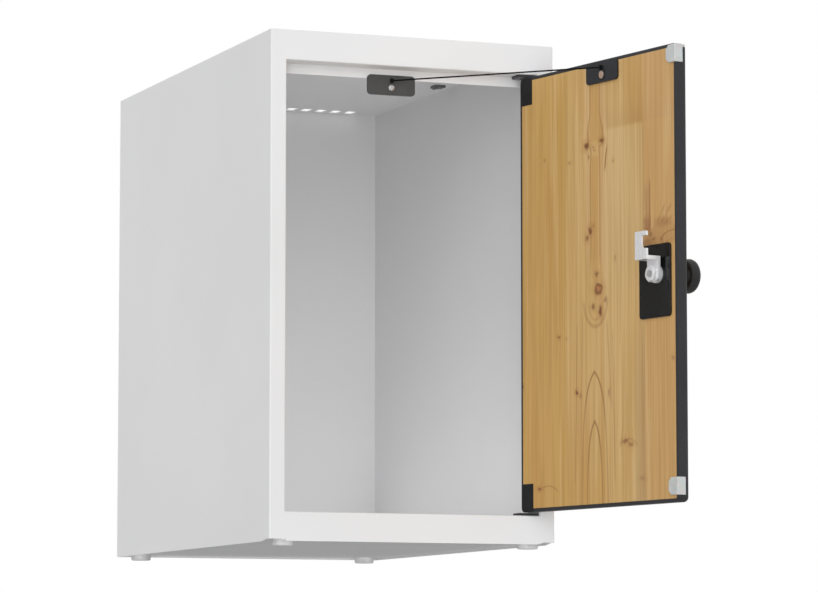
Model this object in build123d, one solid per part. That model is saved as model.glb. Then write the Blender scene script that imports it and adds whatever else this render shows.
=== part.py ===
from build123d import *
import os
from math import atan2, cos, degrees, hypot, radians, sin

os.makedirs("parts", exist_ok=True)

# Single compartment locker, in millimetres. X runs across the front, Y from the front
# into the compartment, Z up. The origin is in the middle of the underside of the front
# left foot. The door stands open, as far as its restraint cord lets it.

# Body of folded sheet steel
body_width = 300
body_depth = 500
body_height = 500
sheet = 1.0
bend_radius = 1.5
underside_recess = 2.0
rear_flange = 15

# Front frame
stile_width = 16.5
stile_depth = 27
stile_hem = 8
top_rail_height = 30
bottom_rail_height = 28.5
rail_depth = 22
stop_lip_height = 10
rail_corner_radius = 1.9
rail_leg_gap = 3
relief_width = 12
relief_height = 2
relief_side_depth = 9
relief_side_slope = 13

# Vent slots in the roof
vent_count = 14
vent_pitch = 17.3
vent_width = 10
vent_length = 17
vent_corner_radius = 2
vent_rear_distance = 9.5

# Feet: glides that snap into the base
foot_height = 4
foot_radius = 10.5
foot_inset_x = 21
foot_inset_front = 20
foot_inset_rear = 21
foot_edge_radius = 1.0
foot_stem_radius = 3
foot_stem_clearance = 0.1
foot_barb_radius = 4.2
foot_barb_height = 2

# Door leaf
door_thickness = 13
door_side_gap = 1.5
door_lower_gap = 0.6
door_upper_gap = 1.3
door_corner_radius = 5
door_outer_edge_radius = 4
door_inner_edge_radius = 0.8
decor_thickness = 0.8
decor_border = 3.5
decor_outer_border = 4.2
decor_corner_radius = 1.5
door_open_angle = 100.8

# Hinge: a pin on a plate at each end of the hinge edge, in a block let into the door
pivot_edge_distance = 5.5
pivot_face_distance = 5.7
hinge_plate_width = 20.3
hinge_plate_depth = 19
hinge_plate_thickness = 2.5
hinge_plate_inset = 1
hinge_plate_side_gap = 0.3
hinge_plate_cut = 2
hinge_pin_radius = 3
hinge_pin_reach = 12
hinge_pin_clearance = 0.06
hinge_pin_seat_clearance = 0.03
hinge_bore_end_gap = 0.5
hinge_block_width = 21.5
hinge_block_height = 28
block_screw_radius = 1.9
block_screw_head_radius = 3.6
block_screw_head_height = 2.2
block_screw_length = 34
block_screw_height = 20.5
plate_screw_radius = 1.7
plate_screw_head_radius = 3.1
plate_screw_head_height = 1.5
plate_screw_pitch = 9.5
plate_screw_distance = 9
plate_screw_centre = 9.2
plate_screw_tip = 7.5
screw_clearance = 0.05

# Restraint: a cord between a holder on the stop lip and a plate on the door
holder_width = 50.6
door_plate_width = 52.1
restraint_plate_height = 20
restraint_plate_thickness = 2
restraint_plate_radius = 4
restraint_drop = 26
holder_distance = 124.9
holder_tab_inset = 6
holder_tab_thickness = 2
holder_tab_height = 22
holder_tab_lift = 2
holder_lip_gap = 0.3
holder_screw_inset = 25.2
holder_screw_rise = 7.5
holder_screw_length = 6.5
door_plate_distance = 118.5
rivet_inset = 26
rivet_rise = 7.3
anchor_rise = 14.4
holder_anchor_inset = 25.1
anchor_width = 3
anchor_depth = 3
anchor_height = 4
anchor_edge_radius = 0.8
restraint_screw_radius = 1.7
restraint_screw_head_radius = 3.25
restraint_screw_head_height = 1.5
rivet_length = 8
rivet_head_radius = 3
rivet_head_height = 1.2
cord_radius = 0.8
cord_end_gap = 0.3

# Corner buffers at the free edge
upper_buffer_height = 17
lower_buffer_height = 16.7
buffer_reach = 14
buffer_thickness = 2
buffer_wrap = 7.8
buffer_wrap_thickness = 0.8
buffer_corner_cut = 4
buffer_edge_radius = 0.5
upper_buffer_offset = 1.3
lower_buffer_offset = 6.8
buffer_ledge_height = 2.5
buffer_ledge_reach = 10.3

# Lock
lock_edge_distance = 29
lock_level = 248
backplate_width = 50
backplate_height = 70
backplate_thickness = 2
backplate_radius = 4
backplate_edge_radius = 0.7
backplate_edge_inset = 20
backplate_drop = 41
barrel_radius = 10
barrel_clearance = 0.1
barrel_flange_radius = 14
barrel_flange_thickness = 2
barrel_nut_flats = 26
barrel_nut_thickness = 4.5
barrel_nut_depth = 4.8
barrel_recess_depth = 5
barrel_recess_radius = 15.5
spindle_radius = 5
spindle_clearance = 0.06
boss_radius = 8.5
boss_plate_clearance = 0.3
boss_cam_gap = 0.5
spindle_square = 7
spindle_square_clearance = 0.1
spindle_stud_radius = 3
spindle_stud_clearance = 0.06

# Knob
knob_radius = 16.5
knob_gap = 0.5
knob_neck_radius = 8
knob_waist = 12
knob_widest = 21
knob_length = 26
knob_back_recess = 3
knob_back_recess_radius = 13
knob_back_recess_inner = 9.5
knob_socket_depth = 14
knob_bore_clearance = 0.03
knob_cap_radius = 10
knob_cap_thickness = 1.6
knob_cap_clearance = 0.15
knob_screw_radius = 2
knob_screw_head_radius = 3.8
knob_screw_head_height = 2.4
knob_screw_length = 14
knob_screw_recess = 3.4

# Cam
cam_plate_gap = 3.0
cam_thickness = 2.5
cam_width = 18
cam_tail = 7
cam_tail_radius = 5.5
cam_edge_radius = 1
cam_step_level = 12.8
cam_step_height = 3.6
cam_step_offset = 14.2
cam_reach = 39.7
cam_hook_bar = 9.8
cam_notch_low = 23
cam_notch_high = 35.3
cam_notch_radius = 5
cam_washer_radius = 8
cam_washer_thickness = 1
cam_nut_flats = 14
cam_nut_thickness = 3
stud_reach = 0.9

# Ceiling hook
ceiling_hook_side_distance = 17
ceiling_hook_front_distance = 268
ceiling_hook_width = 12
ceiling_hook_length = 14
ceiling_hook_thickness = 2.5
ceiling_hook_nose = 2
ceiling_hook_nose_width = 3.5
ceiling_hook_nose_length = 9
ceiling_hook_edge = 0.8

# Levels and faces that follow from the sizes above
left = -foot_inset_x
right = left + body_width
front = -foot_inset_front
rear = front + body_depth
middle = Plane(origin=((left + right) / 2, 0, 0), x_dir=(0, 1, 0), z_dir=(1, 0, 0))
body_low = foot_height
body_top = body_low + body_height
base_low = body_low + underside_recess
base_top = base_low + sheet
roof_low = body_top - sheet
opening_right = right - stile_width
opening_left = left + stile_width
opening_low = body_low + bottom_rail_height
opening_high = body_top - top_rail_height

door_right = opening_right - door_side_gap
door_left = opening_left + door_side_gap
door_low = opening_low + hinge_plate_thickness + door_lower_gap
door_high = opening_high - hinge_plate_thickness - door_upper_gap
door_inner = front + door_thickness
pivot_x = door_right - pivot_edge_distance
pivot_y = front + pivot_face_distance
hinge_axis = Axis((pivot_x, pivot_y, 0), (0, 0, 1))

lock_x = door_left + lock_edge_distance
lock_z = body_low + lock_level

restraint_low = opening_high - restraint_drop
holder_right = opening_right - holder_distance
holder_x = holder_right - holder_screw_inset
holder_z = restraint_low + holder_screw_rise
holder_face = front + rail_depth - sheet - restraint_plate_thickness
holder_anchor = holder_right - holder_anchor_inset
door_plate_right = door_right - door_plate_distance
door_plate_face = door_inner + restraint_plate_thickness
rivet_x = door_plate_right - rivet_inset
rivet_z = restraint_low + rivet_rise
anchor_z = restraint_low + anchor_rise


def block(x_low, x_high, y_low, y_high, z_low, z_high):
    solid = Box(x_high - x_low, y_high - y_low, z_high - z_low, align=(Align.MIN, Align.MIN, Align.MIN))
    return Pos(x_low, y_low, z_low) * solid


def upright(x, y, z_low, z_high, radius):
    """Round bar along Z."""
    return Pos(x, y, z_low) * Cylinder(radius, z_high - z_low, align=(Align.CENTER, Align.CENTER, Align.MIN))


def across(x, y_low, y_high, z, radius):
    """Round bar along Y."""
    bar = Cylinder(radius, y_high - y_low, align=(Align.CENTER, Align.CENTER, Align.MIN))
    return Pos(x, y_low, z) * Rot(-90, 0, 0) * bar


def sideways(x_low, x_high, y, z, radius):
    """Round bar along X."""
    bar = Cylinder(radius, x_high - x_low, align=(Align.CENTER, Align.CENTER, Align.MIN))
    return Pos(x_low, y, z) * Rot(0, 90, 0) * bar


def folded_section(outer, side):
    """Section of a folded sheet from its outer line. side is 1 where the metal is on
    the left of the line and -1 where it is on the right. All folds are square."""
    normals = []
    for start, end in zip(outer[:-1], outer[1:]):
        length = hypot(end[0] - start[0], end[1] - start[1])
        along = ((end[0] - start[0]) / length, (end[1] - start[1]) / length)
        normals.append((-along[1] * side * sheet, along[0] * side * sheet))
    inner = [(outer[0][0] + normals[0][0], outer[0][1] + normals[0][1])]
    corners = []
    for point, before, after in zip(outer[1:-1], normals[:-1], normals[1:]):
        inside = (point[0] + before[0] + after[0], point[1] + before[1] + after[1])
        inner.append(inside)
        turn = (before[0] * after[1] - before[1] * after[0]) * side
        outer_radius = bend_radius if turn > 0 else bend_radius - sheet
        inner_radius = bend_radius - sheet if turn > 0 else bend_radius
        corners.append((point, outer_radius))
        corners.append((inside, inner_radius))
    inner.append((outer[-1][0] + normals[-1][0], outer[-1][1] + normals[-1][1]))
    section = make_face(Polyline(*outer, *reversed(inner), close=True))
    for point, radius in corners:
        corner = section.vertices().sort_by_distance((point[0], point[1], 0))[0]
        section = fillet(corner, radius)
    return section


def rounded_plate(x_low, x_high, y_low, y_high, z_low, z_high, radius):
    """Plate in the door's plane with rounded corners."""
    plate = block(x_low, x_high, y_low, y_high, z_low, z_high)
    return fillet(plate.edges().filter_by(Axis.Y), radius)


def make_side_panel():
    """Left side: side wall, front stile with its return and hem, and rear flange."""
    outer = [
        (opening_left - stile_hem, front + stile_depth),
        (opening_left, front + stile_depth),
        (opening_left, front),
        (left, front),
        (left, rear),
        (left + rear_flange, rear),
    ]
    panel = Pos(0, 0, body_low) * extrude(folded_section(outer, -1), roof_low - body_low)
    panel -= block(left + sheet, opening_left + 1, front + sheet, front + stile_depth + 1,
                   body_low - 1, base_top)
    front_relief = make_face(Polyline(
        (left - 1, body_low - 1),
        (opening_left + 1, body_low - 1),
        (opening_left, body_low),
        (left + relief_width, body_low + relief_height),
        (left - 1, body_low + relief_height),
        close=True,
    ))
    facing = Plane(origin=(0, front - 1, 0), x_dir=(1, 0, 0), z_dir=(0, -1, 0))
    panel -= facing * extrude(front_relief, -(bend_radius + 1))
    slope_end = front + relief_side_depth + relief_side_slope
    side_relief = make_face(Polyline(
        (front - 1, body_low - 1),
        (slope_end + 1, body_low - 1),
        (slope_end, body_low),
        (front + relief_side_depth, body_low + relief_height),
        (front - 1, body_low + relief_height),
        close=True,
    ))
    sideways_plane = Plane(origin=(left - 1, 0, 0), x_dir=(0, 1, 0), z_dir=(1, 0, 0))
    return panel - sideways_plane * extrude(side_relief, sheet + 1)


def make_back_panel():
    panel = block(left + sheet, right - sheet, rear - 2 * sheet, rear - sheet, body_low, roof_low)
    rear_edges = panel.edges().filter_by(Axis.Z).group_by(Axis.Y)[-1]
    return fillet(rear_edges, sheet * 0.6)


def make_roof_panel():
    panel = block(left, right, front, rear, roof_low, body_top)
    panel = fillet(panel.edges().filter_by(Axis.Z), bend_radius)
    panel = fillet(panel.faces().sort_by(Axis.Z)[-1].edges(), sheet * 0.8)
    vent_y = rear - vent_rear_distance - vent_length / 2
    for place in GridLocations(vent_pitch, 1, vent_count, 1):
        x = middle.origin.X + place.position.X
        slot = block(x - vent_width / 2, x + vent_width / 2, vent_y - vent_length / 2,
                     vent_y + vent_length / 2, roof_low - sheet, body_top + sheet)
        panel -= fillet(slot.edges().filter_by(Axis.Z), vent_corner_radius)
    return panel


def make_base_panel():
    """Flat floor, set up a little inside the walls."""
    panel = block(left + sheet, right - sheet, front + sheet, rear - 2 * sheet, base_low, base_top)
    panel = fillet(panel.edges().filter_by(Axis.Z), bend_radius)
    for x, y in foot_places():
        panel -= upright(x, y, base_low - sheet, base_top + sheet, foot_stem_radius + foot_stem_clearance)
    return panel


def extrude_rail(outer):
    """A rail's section, drawn in (Y, Z), run between the two stiles."""
    section = folded_section(outer, 1)
    rail = extrude(section, opening_right - opening_left)
    placed = Plane(origin=(opening_left, 0, 0), x_dir=(0, 1, 0), z_dir=(1, 0, 0))
    return placed * rail


def make_top_rail():
    lip_y = front + rail_depth - sheet
    outer = [
        (front, roof_low),
        (front, opening_high),
        (lip_y, opening_high),
        (lip_y, opening_high - stop_lip_height),
    ]
    rail = extrude_rail(outer)
    for x, y in plate_screw_places():
        rail -= upright(x, y, opening_high - sheet, opening_high + 2 * sheet, plate_screw_radius + screw_clearance)
    rail -= upright(pivot_x, pivot_y, opening_high - sheet, opening_high + 2 * sheet,
                    hinge_pin_radius + hinge_pin_seat_clearance)
    return rail


def make_bottom_rail():
    outer = [
        (front + rail_depth, base_top + rail_leg_gap),
        (front + rail_depth, opening_low),
        (front, opening_low),
        (front, body_low),
    ]
    rail = extrude_rail(outer)
    low_corners = rail.edges().filter_by(Axis.Y).group_by(Axis.Z)[0]
    rail = fillet(low_corners, rail_corner_radius)
    for x, y in plate_screw_places():
        rail -= upright(x, y, opening_low - 2 * sheet, opening_low + sheet, plate_screw_radius + screw_clearance)
    rail -= upright(pivot_x, pivot_y, opening_low - 2 * sheet, opening_low + sheet,
                    hinge_pin_radius + hinge_pin_seat_clearance)
    return rail


def foot_places():
    places = []
    for y in (front + foot_inset_front, rear - foot_inset_rear):
        for x in (left + foot_inset_x, right - foot_inset_x):
            places.append((x, y))
    return places


def make_foot(x, y):
    disc = upright(x, y, 0, base_low, foot_radius)
    disc = chamfer(disc.edges().group_by(Axis.Z)[0], foot_edge_radius)
    stem = upright(x, y, 0, base_top + foot_barb_height, foot_stem_radius)
    barb = upright(x, y, base_top, base_top + foot_barb_height, foot_barb_radius)
    barb = chamfer(barb.edges().group_by(Axis.Z)[-1], foot_edge_radius)
    return disc + stem + barb


def plate_screw_places():
    x = pivot_x - plate_screw_distance
    y = front + hinge_plate_inset + plate_screw_centre
    return [(x, y - plate_screw_pitch / 2), (x, y + plate_screw_pitch / 2)]


def make_hinge_plate(seat, thickness):
    """Flat plate on a rail. A positive thickness grows up from the seat, a negative one down."""
    low = min(seat, seat + thickness)
    high = max(seat, seat + thickness)
    plate_right = opening_right - hinge_plate_side_gap
    plate_left = plate_right - hinge_plate_width
    plate_rear = front + hinge_plate_inset + hinge_plate_depth
    plate = block(plate_left, plate_right, front + hinge_plate_inset, plate_rear, low, high)
    corner = plate.edges().filter_by(Axis.Z).sort_by_distance((plate_left, plate_rear, low))[0]
    plate = chamfer(corner, hinge_plate_cut)
    for x, y in plate_screw_places():
        plate -= upright(x, y, low - sheet, high + sheet, plate_screw_radius + screw_clearance)
        plate -= countersink(x, y, seat + thickness, -thickness, screw_clearance)
    plate -= upright(pivot_x, pivot_y, low - sheet, high + sheet, hinge_pin_radius + hinge_pin_seat_clearance)
    return plate


def countersink(x, y, face, towards, clearance):
    """Conical screw head, its wide end at the face and narrowing towards the sign given."""
    wide = plate_screw_head_radius + clearance
    narrow = plate_screw_radius + clearance
    cone = Cone(wide, narrow, plate_screw_head_height, align=(Align.CENTER, Align.CENTER, Align.MIN))
    if towards > 0:
        return Pos(x, y, face) * cone
    return Pos(x, y, face) * Rot(180, 0, 0) * cone


def make_plate_screws():
    """Four countersunk screws: two in each hinge plate."""
    screws = []
    for face, towards in ((opening_low + hinge_plate_thickness, -1), (opening_high - hinge_plate_thickness, 1)):
        tip = face + towards * plate_screw_tip
        for x, y in plate_screw_places():
            shank = upright(x, y, min(face, tip), max(face, tip), plate_screw_radius)
            screws.append(shank + countersink(x, y, face, towards, 0))
    return screws


def make_hinge_pin(root, towards, gap):
    """Pivot pin: through the rail and its plate into the bore of the door's block."""
    reach = sheet + hinge_plate_thickness + gap + hinge_pin_reach
    tip = root + towards * reach
    pin = upright(pivot_x, pivot_y, min(root, tip), max(root, tip), hinge_pin_radius)
    ends = pin.edges().filter_by(GeomType.CIRCLE).group_by(Axis.Z)
    return chamfer(ends[-1] if towards > 0 else ends[0], hinge_pin_radius / 6)


def make_restraint_holder():
    """Plastic holder that grips the lower edge of the stop lip."""
    plate_left = holder_right - holder_width
    low = restraint_low
    lip_rear = front + rail_depth
    lip_front = lip_rear - sheet
    plate = rounded_plate(plate_left, holder_right, lip_front - restraint_plate_thickness, lip_front,
                          low, low + restraint_plate_height, restraint_plate_radius)
    tab_low = low + holder_tab_lift
    web_high = opening_high - stop_lip_height - holder_lip_gap
    inner_left = plate_left + holder_tab_inset
    inner_right = holder_right - holder_tab_inset
    web = block(inner_left, inner_right, lip_front, lip_rear, tab_low, web_high)
    tab = block(inner_left, inner_right, lip_rear, lip_rear + holder_tab_thickness,
                tab_low, tab_low + holder_tab_height)
    screw_hole = across(holder_x, lip_front - 2 * restraint_plate_thickness, lip_rear + 2 * holder_tab_thickness,
                        holder_z, restraint_screw_radius + screw_clearance)
    return plate + web + tab - screw_hole


def pan_screw(x, y_face, z, head_radius, head_height, length):
    """Pan head screw driven along +Y, its head standing out of the face."""
    head = across(x, y_face - head_height, y_face, z, head_radius)
    head = fillet(head.edges().filter_by(GeomType.CIRCLE).group_by(Axis.Y)[0], head_height * 0.6)
    return head + across(x, y_face, y_face + length, z, restraint_screw_radius)


def make_anchor(x, y_low):
    """Crimped end piece of the cord, standing on its plate."""
    z = anchor_z
    piece = block(x - anchor_width / 2, x + anchor_width / 2, y_low, y_low + anchor_depth,
                  z - anchor_height / 2, z + anchor_height / 2)
    return fillet(piece.edges().filter_by(Axis.Z), anchor_edge_radius)


def make_door_blank():
    blank = block(door_left, door_right, front, door_inner, door_low, door_high)
    blank = fillet(blank.edges().filter_by(Axis.Y), door_corner_radius)
    blank = fillet(blank.faces().sort_by(Axis.Y)[0].edges(), door_outer_edge_radius)
    return fillet(blank.faces().sort_by(Axis.Y)[-1].edges(), door_inner_edge_radius)


def corner_notch(upper):
    """Corner of the door that its hinge block fills."""
    if upper:
        low, high = door_high - hinge_block_height, door_high
    else:
        low, high = door_low, door_low + hinge_block_height
    return block(door_right - hinge_block_width, door_right, front, door_inner, low, high)


def make_inner_decor():
    sheet_solid = rounded_plate(door_left + decor_border, door_right - decor_border,
                                door_inner - decor_thickness, door_inner,
                                door_low + decor_border, door_high - decor_border, decor_corner_radius)
    return sheet_solid - corner_notch(True) - corner_notch(False)


def make_outer_decor():
    sheet_solid = rounded_plate(door_left + decor_outer_border, door_right - decor_outer_border,
                                front, front + decor_thickness,
                                door_low + decor_outer_border, door_high - decor_outer_border,
                                decor_corner_radius)
    return sheet_solid - corner_notch(True) - corner_notch(False)


def block_screw_level(upper):
    if upper:
        return door_high - block_screw_height
    return door_low + block_screw_height


def block_screw(upper, clearance):
    """Countersunk screw from the hinge edge through the block into the leaf."""
    z = block_screw_level(upper)
    y = front + door_thickness / 2
    shank = sideways(door_right - block_screw_length - clearance, door_right, y, z, block_screw_radius + clearance)
    cone = Cone(block_screw_radius + clearance, block_screw_head_radius + clearance, block_screw_head_height,
                align=(Align.CENTER, Align.CENTER, Align.MAX))
    return shank + Pos(door_right, y, z) * Rot(0, 90, 0) * cone


def hinge_bore(upper):
    depth = hinge_pin_reach + hinge_bore_end_gap
    radius = hinge_pin_radius + hinge_pin_clearance
    if upper:
        return upright(pivot_x, pivot_y, door_high - depth, door_high, radius)
    return upright(pivot_x, pivot_y, door_low, door_low + depth, radius)


def make_hinge_block(blank, upper):
    return (blank & corner_notch(upper)) - hinge_bore(upper) - block_screw(upper, screw_clearance)


def make_buffer(blank, low, high, ledge):
    """Corner buffer: a pad on the inner face that wraps round the free edge. The upper
    one has a ledge that runs further across the edge."""
    pad = block(door_left, door_left + buffer_reach, door_inner, door_inner + buffer_thickness, low, high)
    inner_edges = pad.edges().filter_by(Axis.Y).group_by(Axis.X)[-1]
    pad = chamfer(inner_edges, buffer_corner_cut)
    face_edges = pad.faces().sort_by(Axis.Y)[-1].edges().filter_by(lambda edge: edge.center().X > door_left + 0.1)
    pad = chamfer(face_edges, buffer_edge_radius)
    wrap_inner = door_inner - buffer_wrap
    wrap = block(door_left - buffer_wrap_thickness, door_left, wrap_inner, door_inner + buffer_thickness, low, high)
    outer_edges = wrap.edges().filter_by(Axis.Z).group_by(Axis.X)[0]
    wrap = chamfer(outer_edges, buffer_wrap_thickness * 0.6)
    fill = block(door_left - buffer_wrap_thickness / 2, door_left + door_inner_edge_radius,
                 door_inner - door_inner_edge_radius, door_inner, low, high)
    buffer = pad + wrap + fill
    if ledge:
        buffer += block(door_left - buffer_wrap_thickness, door_left, door_inner - buffer_ledge_reach, wrap_inner,
                        high - buffer_ledge_height, high)
    return buffer - blank


def make_backplate():
    x = lock_x - backplate_edge_inset
    z = lock_z - backplate_drop
    plate = rounded_plate(x, x + backplate_width, door_inner, door_inner + backplate_thickness,
                          z, z + backplate_height, backplate_radius)
    plate = fillet(plate.faces().sort_by(Axis.Y)[-1].edges(), backplate_edge_radius)
    return plate - across(lock_x, door_inner - 1, door_inner + 2 * backplate_thickness, lock_z,
                          boss_radius + boss_plate_clearance)


def hexagon_nut(x, z, y_low, y_high, flats, hole_radius):
    across_corners = flats / 3 ** 0.5
    prism = extrude(RegularPolygon(across_corners, 6), y_high - y_low)
    nut = Pos(x, y_low, z) * Rot(-90, 0, 0) * prism
    return nut - across(x, y_low - 1, y_high + 1, z, hole_radius)


def make_barrel():
    """Tube through the leaf, with a flange outside and a boss that reaches up to the cam."""
    tube = across(lock_x, front, door_inner, lock_z, barrel_radius)
    boss = across(lock_x, front, cam_low - boss_cam_gap, lock_z, boss_radius)
    flange = across(lock_x, front - barrel_flange_thickness, front, lock_z, barrel_flange_radius)
    flange = fillet(flange.edges().filter_by(GeomType.CIRCLE).group_by(Axis.Y)[0], barrel_flange_thickness * 0.5)
    return tube + boss + flange - across(lock_x, front - 2 * barrel_flange_thickness, cam_low, lock_z,
                                         spindle_radius + spindle_clearance)


def barrel_recess():
    return across(lock_x, door_inner - barrel_recess_depth, door_inner, lock_z, barrel_recess_radius)


def make_door_core(blank):
    core = blank - corner_notch(True) - corner_notch(False)
    core -= make_inner_decor()
    core -= make_outer_decor()
    core -= across(lock_x, front - 1, door_inner + 1, lock_z, barrel_radius + barrel_clearance)
    core -= barrel_recess()
    for upper in (True, False):
        core -= block_screw(upper, screw_clearance)
    return core - rivet_hole


def lock_profile(points):
    """Turned part round the lock's axis, drawn as (radius, distance out of the door)."""
    turned = revolve(make_face(Polyline(*points, close=True)), Axis.Y)
    return Pos(lock_x, front, lock_z) * Rot(180, 0, 0) * turned


cam_low = door_inner + backplate_thickness + cam_plate_gap
cam_high = cam_low + cam_thickness
washer_high = cam_high + cam_washer_thickness
nut_high = washer_high + cam_nut_thickness


def make_knob():
    start = barrel_flange_thickness + knob_gap
    bore = spindle_radius + knob_bore_clearance
    recess = knob_cap_thickness
    waist = start + knob_waist
    points = [
        (bore, start),
        (knob_neck_radius, start),
        (knob_neck_radius, waist),
        (knob_back_recess_inner, waist + knob_back_recess),
        (knob_back_recess_radius, waist + knob_back_recess),
        (knob_back_recess_radius + 0.6, waist + 0.4),
        (knob_radius - 1.8, waist),
        (knob_radius - 1, waist + 0.6),
        (knob_radius - 0.3, knob_widest - 2.5),
        (knob_radius, knob_widest - 1),
        (knob_radius, knob_widest + 1),
        (knob_radius - 0.8, knob_widest + 3),
        (knob_radius - 2.4, knob_length - 0.6),
        (knob_radius - 3.6, knob_length),
        (knob_cap_radius + knob_cap_clearance, knob_length),
        (knob_cap_radius + knob_cap_clearance, knob_length - recess),
        (knob_screw_head_radius + knob_cap_clearance, knob_length - recess),
        (knob_screw_head_radius + knob_cap_clearance, knob_length - recess - knob_screw_recess),
        (knob_screw_radius + knob_cap_clearance, knob_length - recess - knob_screw_recess),
        (knob_screw_radius + knob_cap_clearance, start + knob_socket_depth),
        (bore, start + knob_socket_depth),
    ]
    return lock_profile(points)


def make_knob_cap():
    out = knob_length
    points = [
        (0, out - knob_cap_thickness),
        (knob_cap_radius, out - knob_cap_thickness),
        (knob_cap_radius, out - 0.3),
        (knob_cap_radius - 0.3, out),
        (0, out),
    ]
    return lock_profile(points)


def make_knob_screw():
    head_base = knob_length - knob_cap_thickness - knob_screw_recess
    points = [
        (0, head_base - knob_screw_length),
        (knob_screw_radius, head_base - knob_screw_length),
        (knob_screw_radius, head_base),
        (knob_screw_head_radius, head_base),
        (knob_screw_head_radius, head_base + knob_screw_head_height),
        (0, head_base + knob_screw_head_height),
    ]
    return lock_profile(points)


def make_spindle():
    start = front - barrel_flange_thickness - knob_gap - knob_socket_depth
    bar = across(lock_x, start, cam_low - boss_cam_gap, lock_z, spindle_radius)
    half = spindle_square / 2
    square = block(lock_x - half, lock_x + half, cam_low - cam_plate_gap, cam_high, lock_z - half, lock_z + half)
    stud = across(lock_x, cam_high, nut_high + stud_reach, lock_z, spindle_stud_radius)
    screw_hole = across(lock_x, start, start + knob_screw_length, lock_z, knob_screw_radius + screw_clearance)
    return bar + square + stud - screw_hole


def make_cam():
    """Cranked cam: arm on the spindle, a step away from the door, and a hooked end."""
    half = cam_width / 2
    arm = block(lock_x - half, lock_x + half, cam_low, cam_high,
                lock_z - cam_tail, lock_z + cam_step_level + cam_step_height)
    arm = fillet(arm.edges().filter_by(Axis.Y).group_by(Axis.Z)[0], cam_tail_radius)
    offset_high = cam_high + cam_step_offset
    step = block(lock_x - half, lock_x + half, cam_low, offset_high,
                 lock_z + cam_step_level, lock_z + cam_step_level + cam_step_height)
    hook = block(lock_x - half, lock_x + half, offset_high - cam_thickness, offset_high,
                 lock_z + cam_step_level, lock_z + cam_reach)
    notch = block(lock_x - half - 1, lock_x + half - cam_hook_bar, offset_high - 2 * cam_thickness,
                  offset_high + cam_thickness, lock_z + cam_notch_low, lock_z + cam_notch_high)
    deep_edge = notch.edges().filter_by(Axis.Y).sort_by_distance(
        (lock_x + half - cam_hook_bar, offset_high, lock_z + cam_notch_low))[0]
    notch = fillet(deep_edge, cam_notch_radius)
    hook -= notch
    hook_tip = hook.edges().filter_by(Axis.Y).group_by(Axis.Z)[-1]
    cam = arm + step + fillet(hook_tip, cam_edge_radius)
    gap = spindle_square / 2 + spindle_square_clearance
    cam -= block(lock_x - gap, lock_x + gap, cam_low - 1, cam_high + 1, lock_z - gap, lock_z + gap)
    return cam


def make_ceiling_hook():
    x_low = right - ceiling_hook_side_distance - ceiling_hook_width / 2
    y_low = front + ceiling_hook_front_distance - ceiling_hook_length / 2
    pad = block(x_low, x_low + ceiling_hook_width, y_low, y_low + ceiling_hook_length,
                roof_low - ceiling_hook_thickness, roof_low)
    nose = block(x_low, x_low + ceiling_hook_nose_width, y_low, y_low + ceiling_hook_nose_length,
                 roof_low - ceiling_hook_thickness - ceiling_hook_nose, roof_low - ceiling_hook_thickness)
    hook = pad + nose
    return chamfer(hook.faces().sort_by(Axis.Z)[0].edges(), ceiling_hook_edge)


def swing(solid):
    """Door part, modelled closed, turned to where the open door stands."""
    return solid.rotate(hinge_axis, door_open_angle)


def make_cord():
    """Taut cord from the holder's anchor to the door's anchor."""
    start = Vector(holder_anchor, holder_face - anchor_depth / 2, anchor_z)
    arm_x = rivet_x - pivot_x
    arm_y = door_plate_face + anchor_depth / 2 - pivot_y
    turn = radians(door_open_angle)
    finish = Vector(pivot_x + arm_x * cos(turn) - arm_y * sin(turn),
                    pivot_y + arm_x * sin(turn) + arm_y * cos(turn), anchor_z)
    way = finish - start
    inset = hypot(anchor_width, anchor_depth) / 2 + cord_end_gap
    start = start + way.normalized() * inset
    finish = finish - way.normalized() * inset
    print("cord length between its anchors", round(way.length, 1))
    angle = degrees(atan2(way.Y, way.X))
    bar = Cylinder(cord_radius, (finish - start).length, align=(Align.CENTER, Align.CENTER, Align.MIN))
    return Pos(start.X, start.Y, anchor_z) * Rot(0, 0, angle) * Rot(0, 90, 0) * bar


parts = {}

# Body
left_side = make_side_panel()
parts["left_side_panel"] = left_side
parts["right_side_panel"] = mirror(left_side, about=middle)
parts["back_panel"] = make_back_panel()
parts["roof_panel"] = make_roof_panel()
parts["base_panel"] = make_base_panel()
parts["top_rail"] = make_top_rail()
parts["bottom_rail"] = make_bottom_rail()
foot_names = ("front_left_foot", "front_right_foot", "rear_left_foot", "rear_right_foot")
for name, (foot_x, foot_y) in zip(foot_names, foot_places()):
    parts[name] = make_foot(foot_x, foot_y)
parts["ceiling_hook"] = make_ceiling_hook()

# Hinge parts on the body
parts["lower_hinge_plate"] = make_hinge_plate(opening_low, hinge_plate_thickness)
parts["upper_hinge_plate"] = make_hinge_plate(opening_high, -hinge_plate_thickness)
parts["lower_hinge_pin"] = make_hinge_pin(opening_low - sheet, 1, door_lower_gap)
parts["upper_hinge_pin"] = make_hinge_pin(opening_high + sheet, -1, door_upper_gap)
parts["hinge_plate_screws"] = sum(make_plate_screws(), Part())

# Restraint
parts["restraint_holder"] = make_restraint_holder()
parts["holder_screw"] = pan_screw(holder_x, holder_face, holder_z, restraint_screw_head_radius,
                                  restraint_screw_head_height, holder_screw_length)
parts["holder_cord_anchor"] = make_anchor(holder_anchor, holder_face - anchor_depth)
parts["restraint_cord"] = make_cord()

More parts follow.
